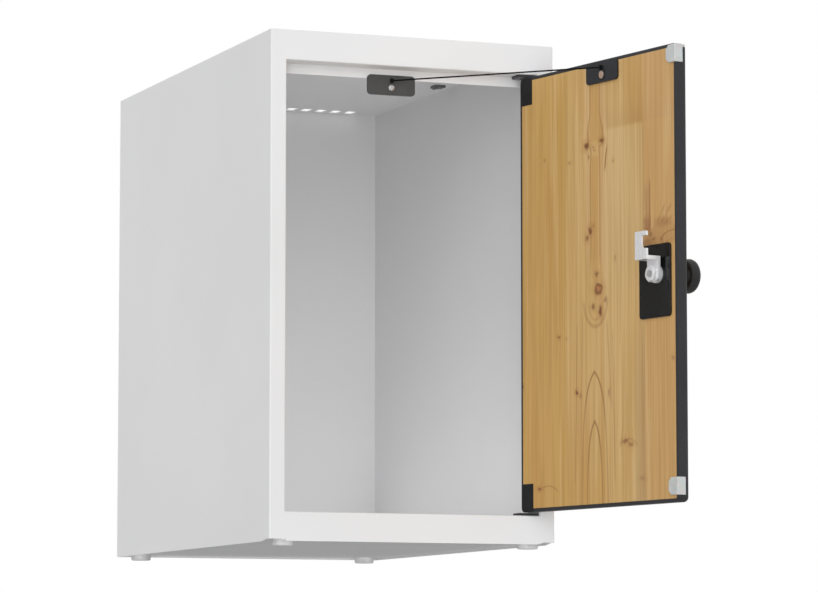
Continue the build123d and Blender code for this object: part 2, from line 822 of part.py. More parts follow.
# Door
blank = make_door_blank()
rivet_hole = across(rivet_x, door_plate_face - rivet_length, door_plate_face + 1, rivet_z,
                    restraint_screw_radius + screw_clearance)
door_plate = rounded_plate(door_plate_right - door_plate_width, door_plate_right, door_inner, door_plate_face,
                           restraint_low, restraint_low + restraint_plate_height, restraint_plate_radius)
rivet = pan_screw(rivet_x, 0, rivet_z, rivet_head_radius, rivet_head_height, rivet_length)
rivet = Pos(0, door_plate_face, 0) * mirror(rivet, about=Plane.XZ)
lock_hole = barrel_recess() + across(lock_x, front - 1, door_inner + 1, lock_z, barrel_radius + barrel_clearance)
nut_low = door_inner - barrel_nut_depth

closed_door = {
    "door_core": make_door_core(blank),
    "inner_decor": make_inner_decor() - lock_hole - rivet_hole,
    "outer_decor": make_outer_decor() - across(lock_x, front - 1, door_inner, lock_z, barrel_radius + barrel_clearance),
    "lower_hinge_block": make_hinge_block(blank, False),
    "upper_hinge_block": make_hinge_block(blank, True),
    "hinge_block_screws": block_screw(True, 0) + block_screw(False, 0),
    "upper_buffer": make_buffer(blank, door_high - upper_buffer_offset - upper_buffer_height,
                                door_high - upper_buffer_offset, True),
    "lower_buffer": make_buffer(blank, door_low + lower_buffer_offset,
                                door_low + lower_buffer_offset + lower_buffer_height, False),
    "door_restraint_plate": door_plate - rivet_hole,
    "restraint_rivet": rivet,
    "door_cord_anchor": make_anchor(rivet_x, door_plate_face),
    "lock_backplate": make_backplate(),
    "lock_barrel": make_barrel(),
    "barrel_nut": hexagon_nut(lock_x, lock_z, nut_low, nut_low + barrel_nut_thickness, barrel_nut_flats,
                              barrel_radius + barrel_clearance),
    "lock_knob": make_knob(),
    "knob_cap": make_knob_cap(),
    "knob_screw": make_knob_screw(),
    "lock_spindle": make_spindle(),
    "lock_cam": make_cam(),
    "cam_washer": across(lock_x, cam_high, washer_high, lock_z, cam_washer_radius)
    - across(lock_x, cam_high - 1, washer_high + 1, lock_z, spindle_stud_radius + spindle_stud_clearance),
    "cam_nut": hexagon_nut(lock_x, lock_z, washer_high, nut_high, cam_nut_flats,
                           spindle_stud_radius + spindle_stud_clearance),
}
for name, solid in closed_door.items():
    parts[name] = swing(solid)

for name, solid in parts.items():
    export_step(solid, f"parts/{name}.step")

print("pivot", round(pivot_x, 3), round(pivot_y, 3), "lock axis", round(lock_x, 3), round(lock_z, 3))
print("door", door_left, door_right, door_low, door_high, "nodes", len(parts))
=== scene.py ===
from math import cos, pi, radians, sin

import bmesh
import bpy
from mathutils import Matrix, Vector


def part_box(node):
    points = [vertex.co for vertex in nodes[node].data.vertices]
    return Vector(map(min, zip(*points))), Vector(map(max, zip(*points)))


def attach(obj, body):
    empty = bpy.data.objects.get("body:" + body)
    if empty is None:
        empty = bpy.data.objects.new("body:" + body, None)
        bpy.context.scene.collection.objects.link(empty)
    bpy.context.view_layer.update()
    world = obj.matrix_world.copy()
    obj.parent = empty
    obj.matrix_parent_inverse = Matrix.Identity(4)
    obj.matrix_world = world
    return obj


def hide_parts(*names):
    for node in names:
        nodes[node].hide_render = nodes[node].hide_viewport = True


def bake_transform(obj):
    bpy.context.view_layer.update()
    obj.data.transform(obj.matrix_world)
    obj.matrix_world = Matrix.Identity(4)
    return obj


MM = 0.001

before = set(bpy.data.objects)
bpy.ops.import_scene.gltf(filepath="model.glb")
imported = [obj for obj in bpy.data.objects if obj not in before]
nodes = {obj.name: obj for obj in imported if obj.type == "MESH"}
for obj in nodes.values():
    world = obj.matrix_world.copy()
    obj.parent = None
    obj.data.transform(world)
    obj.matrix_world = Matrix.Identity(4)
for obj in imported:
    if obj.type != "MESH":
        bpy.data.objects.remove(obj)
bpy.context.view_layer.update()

# Places in metres, as in the part's source: the hinge line, the lock on the closed door,
# and the cord's anchors on the body and on the open door
PIVOT = Vector((255.5, -14.3, 0)) * MM
DOOR_OPEN_ANGLE = radians(100.8)
LOCK = Vector((26, 2.3, 252)) * MM
HOLDER_ANCHOR = Vector((112.5, -2.5, 462.4)) * MM
DOOR_ANCHOR = Vector((270.94, -152.86, 462.4)) * MM
OPEN_DOOR = Matrix.Translation(PIVOT) @ Matrix.Rotation(DOOR_OPEN_ANGLE, 4, "Z") @ Matrix.Translation(-PIVOT)

# The camera stands low at the left and looks up at the open door
CAMERA_PLACE = (-1.23886, -3.49759, -0.13826)
CAMERA_RISE = radians(5.878)
CAMERA_TURN = radians(-21.396)
SENSOR_WIDTH = 36
LENS = 167.96


def place_camera():
    data = bpy.data.cameras.new("camera")
    data.sensor_width = SENSOR_WIDTH
    data.lens = LENS
    data.clip_start = 0.1
    data.clip_end = 50
    camera = bpy.data.objects.new("camera", data)
    bpy.context.scene.collection.objects.link(camera)
    camera.location = CAMERA_PLACE
    camera.rotation_euler = (pi / 2 + CAMERA_RISE, 0, CAMERA_TURN)
    bpy.context.scene.camera = camera


place_camera()


# Lines, tubes and finished pieces

def line_of_spline(points, resolution):
    """Points along the NURBS spline that has these control points."""
    curve = bpy.data.curves.new("route", "CURVE")
    curve.dimensions = "3D"
    curve.resolution_u = resolution
    spline = curve.splines.new("NURBS")
    spline.points.add(len(points) - 1)
    for control, place in zip(spline.points, points):
        control.co = (*place, 1)
    spline.order_u = 3
    spline.use_endpoint_u = True
    holder = bpy.data.objects.new("route", curve)
    line = bpy.data.meshes.new_from_object(holder)
    places = [vertex.co.copy() for vertex in line.vertices]
    bpy.data.objects.remove(holder)
    bpy.data.meshes.remove(line)
    bpy.data.curves.remove(curve)
    return places


def new_piece(name, mesh, material, body, smooth=True):
    """A finished piece at the origin, in the given finish, that rides on a body if one is given."""
    for face in mesh.polygons:
        face.use_smooth = smooth
    piece = bpy.data.objects.new(name, mesh)
    bpy.context.scene.collection.objects.link(piece)
    mesh.materials.clear()
    mesh.materials.append(material)
    if body:
        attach(piece, body)
    return piece


def braided_tube(name, line, radius, sides=16, strands=3, ridge=0.09, pitch=4.2 * MM):
    """Tube along a line, with two sets of ridges that cross, as on a braided cord. Ridge is
    their height as a share of the radius. The UV map holds the way round as a share of a
    turn, and the way along in metres."""
    mesh = bpy.data.meshes.new(name)
    shape = bmesh.new()
    uv_map = shape.loops.layers.uv.new("along")
    up = Vector((0, 0, 1))
    rings, travelled, before = [], 0.0, None
    for index, place in enumerate(line):
        ahead = line[min(index + 1, len(line) - 1)] - line[max(index - 1, 0)]
        side = ahead.cross(up).normalized()
        top = side.cross(ahead).normalized()
        if before is not None:
            travelled += (place - before).length
        before = place
        ring = []
        for step in range(sides):
            turn = 2 * pi * step / sides
            twist = 2 * pi * travelled / pitch
            wave = max(sin(strands * turn + twist), sin(strands * turn - twist))
            reach = radius * (1 - ridge + ridge * wave)
            ring.append(shape.verts.new(place + (side * cos(turn) + top * sin(turn)) * reach))
        rings.append((ring, travelled))
    for (ring, here), (following, there) in zip(rings, rings[1:]):
        for step in range(sides):
            after = (step + 1) % sides
            face = shape.faces.new((ring[step], ring[after], following[after], following[step]))
            corners = ((step, here), (step + 1, here), (step + 1, there), (step, there))
            for loop, (around, along) in zip(face.loops, corners):
                loop[uv_map].uv = (around / sides, along)
    shape.faces.new(reversed(rings[0][0]))
    shape.faces.new(rings[-1][0])
    bmesh.ops.recalc_face_normals(shape, faces=shape.faces)
    shape.to_mesh(mesh)
    shape.free()
    return mesh


# Materials

# Noise values mostly lie between these two
NOISE_LOW = 0.3
NOISE_HIGH = 0.7


def linear(red, green, blue):
    """A colour given as display values from 0 to 255."""
    def channel(value):
        value /= 255
        return value / 12.92 if value <= 0.04045 else ((value + 0.055) / 1.055) ** 2.4
    return (channel(red), channel(green), channel(blue), 1)


def shaded(colour, factor):
    return linear(*[value * factor for value in colour])


class Finish:
    """A material with one Principled shader and short calls that add and join its nodes."""

    def __init__(self, name, **settings):
        self.material = bpy.data.materials.new(name)
        self.material.use_nodes = True
        self.nodes = self.material.node_tree.nodes
        self.links = self.material.node_tree.links
        self.nodes.clear()
        self.shader = self.nodes.new("ShaderNodeBsdfPrincipled")
        self.output = self.nodes.new("ShaderNodeOutputMaterial")
        self.join(self.shader.outputs["BSDF"], self.output.inputs["Surface"])
        for socket, value in settings.items():
            self.shader.inputs[socket.replace("_", " ")].default_value = value
        self.coordinates = self.nodes.new("ShaderNodeTexCoord")
        self.place = self.coordinates.outputs["Object"]

    def join(self, source, target):
        self.links.new(source, target)

    def feed(self, node, sockets):
        for name, value in sockets.items():
            socket = node.inputs[name]
            if isinstance(value, bpy.types.NodeSocket):
                self.join(value, socket)
            else:
                socket.default_value = value

    def mapped(self, place, location=(0, 0, 0), rotation=(0, 0, 0), scale=(1, 1, 1)):
        node = self.nodes.new("ShaderNodeMapping")
        self.feed(node, {"Vector": place, "Location": location, "Rotation": rotation, "Scale": scale})
        return node.outputs["Vector"]

    def noise(self, place, scale, detail=2.0, roughness=0.5):
        node = self.nodes.new("ShaderNodeTexNoise")
        self.feed(node, {"Vector": place, "Scale": scale, "Detail": detail, "Roughness": roughness})
        return node.outputs["Fac"]

    def combined(self, x=0.0, z=0.0):
        node = self.nodes.new("ShaderNodeCombineXYZ")
        self.feed(node, {"X": x, "Z": z})
        return node.outputs[0]

    def separated(self, place):
        """The X and Z parts of a place."""
        node = self.nodes.new("ShaderNodeSeparateXYZ")
        self.join(place, node.inputs[0])
        return node.outputs["X"], node.outputs["Z"]

    def math(self, operation, first, second=0.0, third=0.0):
        node = self.nodes.new("ShaderNodeMath")
        node.operation = operation
        self.feed(node, {0: first, 1: second, 2: third})
        return node.outputs["Value"]

    def product(self, first, *others):
        for other in others:
            first = self.math("MULTIPLY", first, other)
        return first

    def offset(self, value, middle):
        """How far a value is from a middle, on either side."""
        return self.math("ABSOLUTE", self.math("SUBTRACT", value, middle))

    def vector(self, operation, first, second=(0, 0, 0)):
        node = self.nodes.new("ShaderNodeVectorMath")
        node.operation = operation
        self.feed(node, {0: first, 1: second})
        return node.outputs["Value" if operation == "LENGTH" else "Vector"]

    def spread(self, value, from_low, from_high, to_low, to_high):
        """Maps one range to another, held at both ends, with a soft start and finish."""
        node = self.nodes.new("ShaderNodeMapRange")
        node.interpolation_type = "SMOOTHSTEP"
        self.feed(node, {"Value": value, "From Min": from_low, "From Max": from_high, "To Min": to_low,
                         "To Max": to_high})
        return node.outputs["Result"]

    def above(self, value, low, high, top=1):
        """0 up to low, and top from high on."""
        return self.spread(value, low, high, 0, top)

    def below(self, value, low, high, top=1):
        """Top up to low, and 0 from high on."""
        return self.spread(value, low, high, top, 0)

    def between(self, value, low, high, soft):
        """1 between two values and 0 outside them, with soft edges."""
        return self.product(self.above(value, low - soft, low + soft),
                            self.below(value, high - soft, high + soft))

    def ramp(self, value, stops):
        node = self.nodes.new("ShaderNodeValToRGB")
        elements = node.color_ramp.elements
        while len(elements) < len(stops):
            elements.new(0.5)
        for element, (position, colour) in zip(elements, stops):
            element.position = position
            element.color = colour
        self.join(value, node.inputs["Fac"])
        return node.outputs["Color"]

    def mix(self, amount, first, second):
        node = self.nodes.new("ShaderNodeMix")
        node.data_type = "RGBA"
        colours = [socket for socket in node.inputs if socket.type == "RGBA"]
        for socket, value in zip([node.inputs["Factor"], *colours], (amount, first, second)):
            if isinstance(value, bpy.types.NodeSocket):
                self.join(value, socket)
            else:
                socket.default_value = value
        return next(socket for socket in node.outputs if socket.type == "RGBA")

    def colour(self, source):
        self.join(source, self.shader.inputs["Base Color"])

    def two_tones(self, noise, dark, light):
        return self.ramp(noise, [(NOISE_LOW, dark), (NOISE_HIGH, light)])

    def roughness(self, noise, low, high):
        self.join(self.spread(noise, NOISE_LOW, NOISE_HIGH, low, high), self.shader.inputs["Roughness"])

    def bump(self, height, distance, strength=1.0):
        """Relief with a depth in metres."""
        node = self.nodes.new("ShaderNodeBump")
        self.feed(node, {"Height": height, "Distance": distance, "Strength": strength})
        self.join(node.outputs["Normal"], self.shader.inputs["Normal"])


def powder_coat(name, colour, roughness=0.42, orange_peel=0.25, gloss=0.5):
    """Even coat with a faint orange peel and a slow change of tone."""
    finish = Finish(name, Specular_IOR_Level=gloss)
    slow = finish.noise(finish.place, 5)
    finish.colour(finish.ramp(slow, [(0.35, shaded(colour, 0.985)), (0.65, linear(*colour))]))
    peel = finish.noise(finish.place, 1400, 1.5)
    finish.roughness(peel, roughness - 0.04, roughness + 0.04)
    finish.bump(peel, 0.02 * MM, orange_peel)
    return finish.material


def moulded_plastic(name, colour, roughness=0.5, texture=0.4, gloss=0.5):
    """Moulded plastic with the fine spark texture of its tool."""
    finish = Finish(name, Specular_IOR_Level=gloss)
    grain = finish.noise(finish.place, 2600, 2, 0.6)
    patches = finish.noise(finish.place, 60)
    finish.colour(finish.two_tones(patches, shaded(colour, 0.92), shaded(colour, 1.08)))
    finish.roughness(grain, roughness - 0.06, roughness + 0.08)
    finish.bump(grain, 0.03 * MM, texture)
    return finish.material


def gloss_black(name):
    finish = Finish(name, Specular_IOR_Level=0.32)
    haze = finish.noise(finish.place, 90, 3)
    finish.colour(finish.two_tones(haze, linear(16, 16, 17), linear(21, 22, 22)))
    finish.roughness(haze, 0.12, 0.2)
    ripple = finish.noise(finish.place, 300, 1)
    finish.bump(ripple, 0.02 * MM, 0.15)
    return finish.material


def bright_metal(name, colour, low, high, stretch=(1, 1, 1), metallic=1.0, wear=0.93, marks_depth=0.2):
    """Plated metal, with fine marks that run one way."""
    finish = Finish(name, Metallic=metallic)
    marks = finish.noise(finish.mapped(finish.place, scale=stretch), 900, 4, 0.6)
    patches = finish.noise(finish.place, 120)
    finish.colour(finish.two_tones(patches, shaded(colour, wear), linear(*colour)))
    finish.roughness(marks, low, high)
    finish.bump(marks, 0.01 * MM, marks_depth)
    return finish.material


def milky_plastic(name):
    """Milky soft plastic that glows a little through its thin edges."""
    finish = Finish(name, Subsurface_Weight=0.35, Subsurface_Scale=2 * MM, Coat_Weight=0.15,
                    Coat_Roughness=0.3)
    cloud = finish.noise(finish.place, 220, 3)
    finish.colour(finish.two_tones(cloud, linear(193, 196, 195), linear(204, 206, 205)))
    finish.roughness(cloud, 0.34, 0.44)
    finish.bump(cloud, 0.05 * MM, 0.2)
    return finish.material


def dark_core(name):
    """Dark solid core: milled edges with a fine grain."""
    finish = Finish(name, Specular_IOR_Level=0.3)
    fibres = finish.noise(finish.mapped(finish.place, scale=(1, 1, 0.15)), 1800, 3, 0.6)
    patches = finish.noise(finish.place, 25)
    base = finish.two_tones(patches, linear(41, 41, 43), linear(48, 48, 51))
    finish.colour(finish.mix(finish.above(fibres, 0.35, 0.7, 0.5), base, linear(37, 36, 38)))
    finish.roughness(fibres, 0.46, 0.6)
    finish.bump(fibres, 0.03 * MM, 0.4)
    return finish.material


def braided_cord(name):
    """Matt black threads that run along the cord's own UV map."""
    finish = Finish(name, Specular_IOR_Level=0.1)
    uv = finish.coordinates.outputs["UV"]
    threads = finish.noise(finish.mapped(uv, scale=(40, 9000, 1)), 1, 2)
    finish.colour(finish.two_tones(threads, linear(7, 7, 7), linear(20, 20, 20)))
    finish.roughness(threads, 0.7, 0.9)
    finish.bump(threads, 0.04 * MM, 0.5)
    return finish.material


# Pine decor of the door

# It is drawn on the closed door, in millimetres: across from the frame's origin and up
# from the floor. A knot has its place, half width, half height, how dark it is, and how
# far it pushes the grain aside.
KNOTS = (
    (145.0, 388.7, 4.3, 3.4, 0.78, 0.55),
    (119.7, 391.0, 4.0, 2.6, 0.75, 0.45),
    (133.5, 386.4, 2.0, 1.6, 0.40, 0.2),
    (131.4, 383.0, 1.6, 1.4, 0.35, 0),
    (141.8, 378.3, 1.6, 2.2, 0.40, 0),
    (100.5, 369.7, 1.8, 1.8, 0.30, 0),
    (174.6, 375.7, 2.2, 1.6, 0.30, 0),
    (217.4, 383.5, 1.2, 1.6, 0.35, 0),
    (139.4, 305.0, 3.4, 4.0, 0.72, 0.5),
    (144.8, 298.2, 3.0, 3.4, 0.55, 0.3),
    (134.2, 309.6, 2.0, 2.2, 0.35, 0.2),
    (97.7, 275.0, 1.4, 3.2, 0.30, 0),
    (128.9, 261.5, 3.6, 2.8, 0.58, 0.3),
    (114.2, 235.7, 2.4, 2.6, 0.42, 0.2),
    (135.3, 230.1, 3.2, 3.2, 0.60, 0.3),
    (123.3, 225.3, 3.0, 5.2, 0.78, 0.4),
    (194.4, 205.3, 2.4, 2.4, 0.55, 0.2),
    (181.0, 202.0, 2.2, 1.6, 0.22, 0),
    (163.7, 148.9, 2.4, 2.2, 0.80, 0.2),
    (157.3, 145.0, 1.6, 2.6, 0.42, 0),
    (108.7, 145.8, 1.4, 4.2, 0.40, 0),
    (82.3, 97.1, 5.4, 2.4, 0.52, 0.4),
    (73.3, 93.5, 4.4, 2.0, 0.42, 0.3),
    (228.5, 58.0, 3.8, 1.8, 0.62, 0.3),
    (56.3, 60.6, 4.0, 2.0, 0.22, 0.2),
    (257.0, 161.1, 1.8, 2.4, 0.50, 0),
    (4.3, 171.6, 2.2, 2.6, 0.30, 0),
    (34.6, 287.0, 2.4, 2.0, 0.52, 0),
    (38.9, 291.4, 2.4, 2.4, 0.42, 0),
    (21.8, 285.6, 1.8, 1.8, 0.50, 0),
)
RING_KNOT = (126.1, 246.9, 6.8, 5.4)
# Rings of a cut across the grain: centre, half width, half height, how strong, and the
# levels between which they show
RINGS = (
    (131, 238, 20, 27, 0.34, 205, 236),
    (131, 236, 12.5, 18.5, 0.24, 212, 233),
    (214, 50, 17.5, 10, 0.36, 54, 64),
    (78, 86, 17, 13, 0.22, 92, 102),
    (3, 284, 19, 8.5, 0.85, 285, 294),
    (3, 276, 17, 8, 0.40, 279, 285),
)
# Arches: peak, width that they open out to, how slowly they open, and how strong
ARCHES = (
    (133.5, 167.0, 26.0, 22.0, 0.72),
    (133.5, 119.0, 16.0, 18.0, 0.74),
)
# Long thin dark lines: across, lean, lower and upper end, how strong
GRAIN_LINES = (
    (164.5, -0.03, 60, 215, 0.30),
    (155.5, -0.02, 40, 222, 0.26),
    (108.5, 0.09, 130, 215, 0.32),
    (101.5, 0.02, 60, 205, 0.28),
    (53.6, 0.0, 40, 205, 0.30),
    (40.4, 0.0, 296, 343, 0.75),
    (46.5, 0.0, 300, 335, 0.30),
    (113.0, -0.11, 362, 385, 0.95),
)
# Patches of tone round the big knot at the free edge: across from and to, and how soft;
# up from and to, and how soft; how strong, and the tone
BIG_KNOT_PATCHES = (
    (-9, 50.5, 0.8, 281, 298, 3, 0.45, (178, 134, 82)),
    (8, 31, 8, 297.5, 306, 3.2, 0.72, (162, 112, 66)),
    (39, 50, 1.2, 293, 309, 5, 0.70, (156, 104, 62)),
    (41, 50, 1.2, 306, 340, 10, 0.40, (172, 132, 92)),
    (34, 55, 6, 280, 288, 3, 0.62, (156, 108, 62)),
)
# Where the streaks over the big knot fan out from
FAN_ORIGIN = (40, 286)
# Seam of the board at the free edge, the level at which the pale board ends, the edge of
# the shade above it, and the heart of the tree
SEAM = 51
BOARD_END = 401.5
SHADE_EDGE = 116
HEART_MIDDLE = 131
HEART_HALF_WIDTH = 8
# Tones of the wood
GROUND_TONES = ((0.32, (200, 154, 83)), (0.5, (209, 167, 97)), (0.68, (200, 157, 81)))
PALE_BOARD = (216, 182, 126)
SHADED_BOARD = (186, 144, 86)
EDGE_BOARD = (207, 163, 108)
GREY_STRIP = (186, 155, 112)
PALE_MIDDLE = (227, 196, 142)
HEARTWOOD = (200, 152, 86)
SAPWOOD = (220, 181, 130)
ARCH_GROUND = (214, 176, 116)
FINE_STREAK = (184, 141, 82)
BROAD_STREAK = (182, 138, 75)
PALE_STREAK = (226, 194, 142)
THIN_LINE = (148, 95, 47)
FAN_DARK = (150, 104, 58)
FAN_PALE = (206, 168, 116)
KNOT_HALO = (176, 122, 66)
KNOT_HEART = (116, 66, 33)
RING_HALO = (180, 126, 70)
RING_DARK = (124, 74, 38)
RING_HEART = (186, 126, 78)
SEAM_SHADOW = (140, 104, 64)


class PineDecor(Finish):
    """Pine boards with upright grain, arches low down, a darker heart in the middle and knots."""

    def __init__(self, name):
        super().__init__(name)
        self.leaf_place = self.closed_leaf_place()
        self.across, self.up = self.separated(self.leaf_place)
        self.wavy_place = self.vector("ADD", self.leaf_place, self.waviness())
        self.grain = self.bent_grain()
        self.fine = self.streaks(2.2, 0.006)
        self.middling = self.streaks(6.5, 0.004, 3.0)
        stops = [(stop, linear(*tone)) for stop, tone in GROUND_TONES]
        self.wood = self.ramp(self.streaks(22, 0.004), stops)
        self.lay_boards()
        self.draw_heart()
        self.draw_streaks()
        self.draw_thin_lines()
        self.draw_big_knot()
        self.draw_knots()
        self.draw_ring_knot()
        self.draw_seam()
        self.colour(self.wood)
        self.roughness(self.fine, 0.42, 0.55)
        self.bump(self.fine, 0.04 * MM, 0.35)

    def closed_leaf_place(self):
        """The open leaf's coordinates, turned back to the closed door's and in millimetres."""
        turn = -DOOR_OPEN_ANGLE
        back = PIVOT - Matrix.Rotation(turn, 3, "Z") @ PIVOT
        closed = self.mapped(self.place, location=back, rotation=(0, 0, turn))
        return self.vector("MULTIPLY", closed, (1 / MM, 1 / MM, 1 / MM))

    def waviness(self):
        """Shift of up to 3 mm that keeps knots and patches from being too regular."""
        node = self.nodes.new("ShaderNodeTexNoise")
        self.feed(node, {"Vector": self.leaf_place, "Scale": 0.16, "Detail": 2.0})
        centred = self.vector("SUBTRACT", node.outputs["Color"], (0.5, 0.5, 0.5))
        return self.vector("MULTIPLY", centred, (6, 0, 6))

    def from_centre(self, place, x, z, half_width, half_height):
        """How far out a place is, where 1 is on the ellipse round the centre."""
        arm = self.vector("SUBTRACT", place, (x, 0, z))
        return self.vector("LENGTH", self.vector("MULTIPLY", arm, (1 / half_width, 0, 1 / half_height)))

    def bent_grain(self):
        """Place across, with the grain pushed aside round the knots."""
        grain = self.across
        for x, z, half_width, half_height, _, bend in KNOTS:
            if bend:
                reach = self.from_centre(self.wavy_place, x, z, 2 * half_width, 5 * half_height)
                push = self.product(self.math("SUBTRACT", self.across, x), self.below(reach, 0, 1.7, bend))
                grain = self.math("SUBTRACT", grain, push)
        return grain

    def streaks(self, width, lengthways, detail=2.0):
        lane = self.combined(self.product(self.grain, 1 / width), self.product(self.up, lengthways))
        return self.noise(lane, 1.0, detail)

    def tint(self, amount, tone):
        self.wood = self.mix(amount, self.wood, linear(*tone))

    def lay_boards(self):
        lower_right = self.product(self.between(self.across, SEAM, 117, 1.2),
                                   self.below(self.up, BOARD_END - 3.5, BOARD_END + 3.5))
        self.tint(self.product(lower_right, self.spread(self.up, 150, 330, 0.42, 1.0), 0.8), PALE_BOARD)
        upper_right = self.product(self.below(self.across, SHADE_EDGE - 4, SHADE_EDGE + 4),
                                   self.above(self.up, BOARD_END - 2.5, BOARD_END + 2.5))
        self.tint(self.product(upper_right, self.spread(self.up, 402, 430, 0.75, 0.25)), SHADED_BOARD)
        self.tint(self.product(self.below(self.across, SEAM - 1, SEAM + 1), 0.62), EDGE_BOARD)
        grey_strip = self.product(self.between(self.across, 50, 66, 5), self.below(self.up, 150, 230))
        self.tint(self.product(grey_strip, 0.55), GREY_STRIP)
        middle = self.product(self.between(self.across, 78, 182, 14), self.between(self.up, 95, 445, 60))
        self.tint(self.product(middle, 0.34), PALE_MIDDLE)

    def draw_heart(self):
        """A darker band, widest just above the topmost knots, with light stripes beside it."""
        bulge = self.product(self.spread(self.up, 422, 400, 0, 4.5), self.above(self.up, 384, 390))
        from_middle = self.offset(self.grain, HEART_MIDDLE)
        from_edge = self.math("SUBTRACT", from_middle, self.math("ADD", bulge, HEART_HALF_WIDTH))
        upper_part = self.above(self.up, 255, 285)
        band = self.product(self.below(from_edge, -1.5, 0.5), upper_part,
                            self.math("SUBTRACT", 1, self.between(self.up, 378, 392, 3)))
        self.tint(self.product(band, 0.62), HEARTWOOD)
        stripe = self.product(self.between(from_edge, 1.5, 8, 2), self.above(self.up, 240, 300))
        self.tint(self.product(stripe, 0.62), SAPWOOD)
        under_knots = self.product(self.below(from_middle, 8, 24), self.between(self.up, 165, 225, 20))
        self.tint(self.product(under_knots, 0.35), ARCH_GROUND)
        self.heart_edge = self.product(self.below(self.offset(from_edge, 0), 0.2, 1.6, 0.45), upper_part)

    def draw_streaks(self):
        self.tint(self.above(self.fine, 0.44, 0.64, 0.42), FINE_STREAK)
        self.tint(self.above(self.middling, 0.50, 0.72, 0.32), BROAD_STREAK)
        self.tint(self.below(self.middling, 0.30, 0.46, 0.42), PALE_STREAK)

    def arch_line(self, peak_across, peak_up, width, slowness, strength):
        """Thin line along one arch of the grain, darkest at its peak."""
        under = self.math("MAXIMUM", self.math("SUBTRACT", peak_up, self.up), -slowness / 2)
        sideways = self.math("DIVIDE", self.math("SUBTRACT", self.across, peak_across), width)
        reach = self.math("ADD", under, slowness)
        height = self.math("SUBTRACT", self.math("ABSOLUTE", sideways), self.math("DIVIDE", under, reach))
        slope_up = self.math("DIVIDE", slowness, self.product(reach, reach))
        slope = self.math("SQRT", self.math("MULTIPLY_ADD", slope_up, slope_up, 1 / width ** 2))
        away = self.math("DIVIDE", self.math("ABSOLUTE", height), slope)
        fade = self.spread(under, 0, 70, strength, strength * 0.5)
        return self.product(self.below(away, 0.4, 1.8), fade, self.above(under, -2.5, -1))

    def grain_line(self, x, lean, low, high, strength):
        course = self.math("MULTIPLY_ADD", self.math("SUBTRACT", self.up, (low + high) / 2), lean, x)
        away = self.offset(self.grain, course)
        return self.product(self.below(away, 0.3, 1.5, strength), self.between(self.up, low, high, 5))

    def ring_line(self, x, z, half_width, half_height, strength, low, high):
        away = self.offset(self.from_centre(self.leaf_place, x, z, half_width, half_height), 1)
        return self.product(self.below(away, 0.02, 0.13, strength), self.between(self.up, low, high, 4))

    def draw_thin_lines(self):
        lines = [self.arch_line(*arch) for arch in ARCHES]
        lines += [self.grain_line(*line) for line in GRAIN_LINES]
        lines += [self.ring_line(*ring) for ring in RINGS]
        strongest = self.heart_edge
        for line in lines:
            strongest = self.math("MAXIMUM", strongest, line)
        self.tint(strongest, THIN_LINE)

    def draw_big_knot(self):
        """Brown patches at the free edge, under streaks that fan out."""
        wavy_across, wavy_up = self.separated(self.wavy_place)
        for left, right, side_soft, low, high, end_soft, strength, tone in BIG_KNOT_PATCHES:
            patch = self.product(self.between(wavy_across, left, right, side_soft),
                                 self.between(wavy_up, low, high, end_soft), strength)
            self.tint(patch, tone)
        out = self.math("SUBTRACT", FAN_ORIGIN[0], self.across)
        rise = self.math("SUBTRACT", self.up, FAN_ORIGIN[1])
        direction = self.math("ARCTAN2", rise, out)
        distance = self.math("SQRT", self.math("MULTIPLY_ADD", out, out, self.product(rise, rise)))
        ray = self.combined(self.product(direction, 9.0), self.product(distance, 0.03))
        fan = self.noise(ray, 1.0, 3.0, 0.55)
        zone = self.product(self.between(self.across, 4, 26, 3), self.between(self.up, 296, 318, 5))
        self.tint(self.product(self.above(fan, 0.50, 0.64, 0.34), zone), FAN_DARK)
        self.tint(self.product(self.below(fan, 0.32, 0.46, 0.5), zone), FAN_PALE)

    def draw_knots(self):
        dark, halo = 0.0, 0.0
        for x, z, half_width, half_height, darkness, _ in KNOTS:
            near = self.from_centre(self.wavy_place, x, z, half_width, half_height)
            dark = self.math("MAXIMUM", self.below(near, 0.3, 1.3, 1.2 * darkness), dark)
            halo = self.math("MAXIMUM", self.below(near, 0.9, 3.0, 0.5 * darkness), halo)
        self.tint(halo, KNOT_HALO)
        self.tint(dark, KNOT_HEART)

    def draw_ring_knot(self):
        near = self.from_centre(self.wavy_place, *RING_KNOT)
        self.tint(self.below(near, 0.95, 2.6, 0.4), RING_HALO)
        self.tint(self.below(near, 0.8, 1.15, 0.85), RING_DARK)
        self.tint(self.below(near, 0.35, 0.7, 0.85), RING_HEART)

    def draw_seam(self):
        line = self.below(self.offset(self.across, SEAM), 0.2, 1.0, 0.35)
        self.tint(self.product(line, self.below(self.up, BOARD_END - 3.5, BOARD_END + 3.5)), SEAM_SHADOW)


housing_coat = powder_coat("housing_powder_coat", (230, 230, 231))
foot_plastic = moulded_plastic("foot_plastic", (222, 222, 222))
black_plastic = moulded_plastic("black_plastic", (29, 29, 30), gloss=0.2)
knot_plastic = moulded_plastic("cord_knot_plastic", (14, 14, 14), gloss=0.1)
plate_plastic = moulded_plastic("door_plate_plastic", (37, 38, 41), gloss=0.25)
hook_plastic = moulded_plastic("ceiling_hook_plastic", (104, 104, 104))
holder_plastic = moulded_plastic("holder_plastic", (62, 62, 62))
hinge_coat = powder_coat("hinge_plate_coat", (40, 41, 43), roughness=0.4, gloss=0.35)
zinc_steel = bright_metal("zinc_plated_steel", (205, 205, 206), 0.28, 0.42)
polished_zinc = bright_metal("bright_zinc", (238, 238, 240), 0.27, 0.31, stretch=(1, 1, 0.2), metallic=0.4,
                             wear=0.99, marks_depth=0.005)
pale_rivet = bright_metal("pale_rivet_metal", (178, 154, 136), 0.4, 0.5, metallic=0.3)
